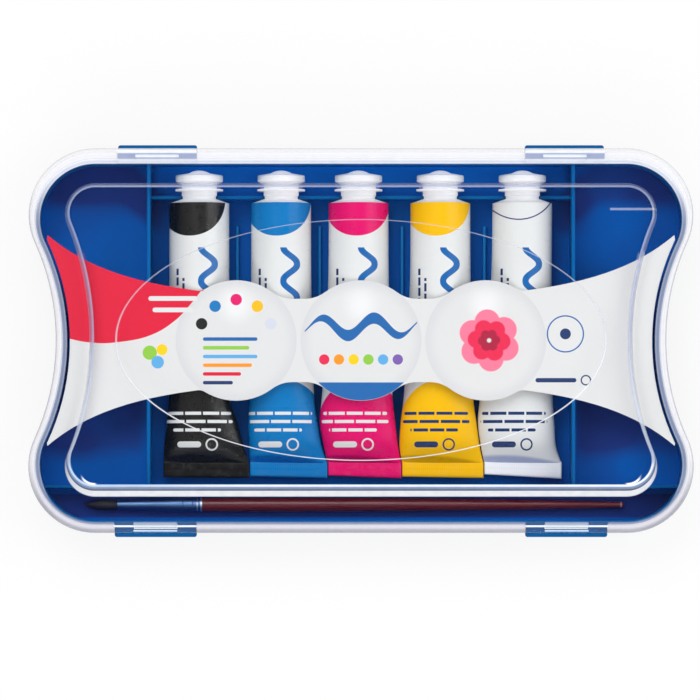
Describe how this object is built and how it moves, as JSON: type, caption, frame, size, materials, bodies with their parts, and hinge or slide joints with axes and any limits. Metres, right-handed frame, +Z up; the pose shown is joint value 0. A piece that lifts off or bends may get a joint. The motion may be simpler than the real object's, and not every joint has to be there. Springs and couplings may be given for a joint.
{
  "type": "gouache paint set box",
  "caption": "Flat hourglass-shaped plastic box with a clear hinged lid, holding gouache paint tubes and a brush in a moulded blue tray.",
  "frame": {"origin": "on the table, under the middle of the closed box", "axes": "+X along the box's length, +Y towards the hinge side, +Z up"},
  "size_m": [0.244, 0.1442, 0.03],
  "materials": {
    "tray_plastic": "moulded blue, satin gloss",
    "clear_plastic": "clear polystyrene, polished",
    "label_card": null,
    "white_plastic": "moulded white",
    "black_tube_skin": "laminate tube, printed in zones over white",
    "black_paint": "gouache paste",
    "cyan_tube_skin": "laminate tube, printed in zones over white",
    "cyan_paint": "gouache paste",
    "magenta_tube_skin": "laminate tube, printed in zones over white",
    "magenta_paint": "gouache paste",
    "yellow_tube_skin": "laminate tube, printed in zones over white",
    "yellow_paint": "gouache paste",
    "white_tube_skin": "laminate tube, printed in zones over white",
    "white_paint": "gouache paste",
    "brush_wood": "lacquered red-brown",
    "brush_metal": "polished, crimped",
    "brush_hair": "dark hair"
  },
  "bodies": {
    "tray": {"tray": "tray_plastic", "label": "label_card", "tube_black_body": "black_tube_skin", "tube_black_nozzle": "white_plastic", "tube_black_paint": "black_paint", "tube_cyan_body": "cyan_tube_skin", "tube_cyan_nozzle": "white_plastic", "tube_cyan_paint": "cyan_paint", "tube_magenta_body": "magenta_tube_skin", "tube_magenta_nozzle": "white_plastic", "tube_magenta_paint": "magenta_paint", "tube_yellow_body": "yellow_tube_skin", "tube_yellow_nozzle": "white_plastic", "tube_yellow_paint": "yellow_paint", "tube_white_body": "white_tube_skin", "tube_white_nozzle": "white_plastic", "tube_white_paint": "white_paint"},
    "lid": {"lid": "clear_plastic"},
    "cap_black": {"tube_black_cap": "white_plastic"},
    "cap_cyan": {"tube_cyan_cap": "white_plastic"},
    "cap_magenta": {"tube_magenta_cap": "white_plastic"},
    "cap_yellow": {"tube_yellow_cap": "white_plastic"},
    "cap_white": {"tube_white_cap": "white_plastic"},
    "brush": {"brush_handle": "brush_wood", "brush_ferrule": "brush_metal", "brush_bristles": "brush_hair"}
  },
  "joints": [
    {"name": "lid_hinge", "type": "hinge", "parent": "tray", "child": "lid", "pos_m": [0, 0.0706, 0.0172], "axis": [-1, 0, 0], "range_deg": [0, 180]},
    {"name": "cap_black_turn", "type": "hinge", "parent": "tray", "child": "cap_black", "pos_m": [-0.0596, 0.0508, 0.0127], "axis": [0, 1, 0], "continuous": true},
    {"name": "cap_cyan_turn", "type": "hinge", "parent": "tray", "child": "cap_cyan", "pos_m": [-0.0294, 0.0508, 0.0127], "axis": [0, 1, 0], "continuous": true},
    {"name": "cap_magenta_turn", "type": "hinge", "parent": "tray", "child": "cap_magenta", "pos_m": [-0.0009, 0.0508, 0.0127], "axis": [0, 1, 0], "continuous": true},
    {"name": "cap_yellow_turn", "type": "hinge", "parent": "tray", "child": "cap_yellow", "pos_m": [0.02925, 0.0508, 0.0127], "axis": [0, 1, 0], "continuous": true},
    {"name": "cap_white_turn", "type": "hinge", "parent": "tray", "child": "cap_white", "pos_m": [0.0595, 0.0508, 0.0127], "axis": [0, 1, 0], "continuous": true},
    {"name": "brush_slide", "type": "slide", "parent": "tray", "child": "brush", "axis": [1, 0, 0], "range_m": [-0.006, 0.012]}
  ]
}
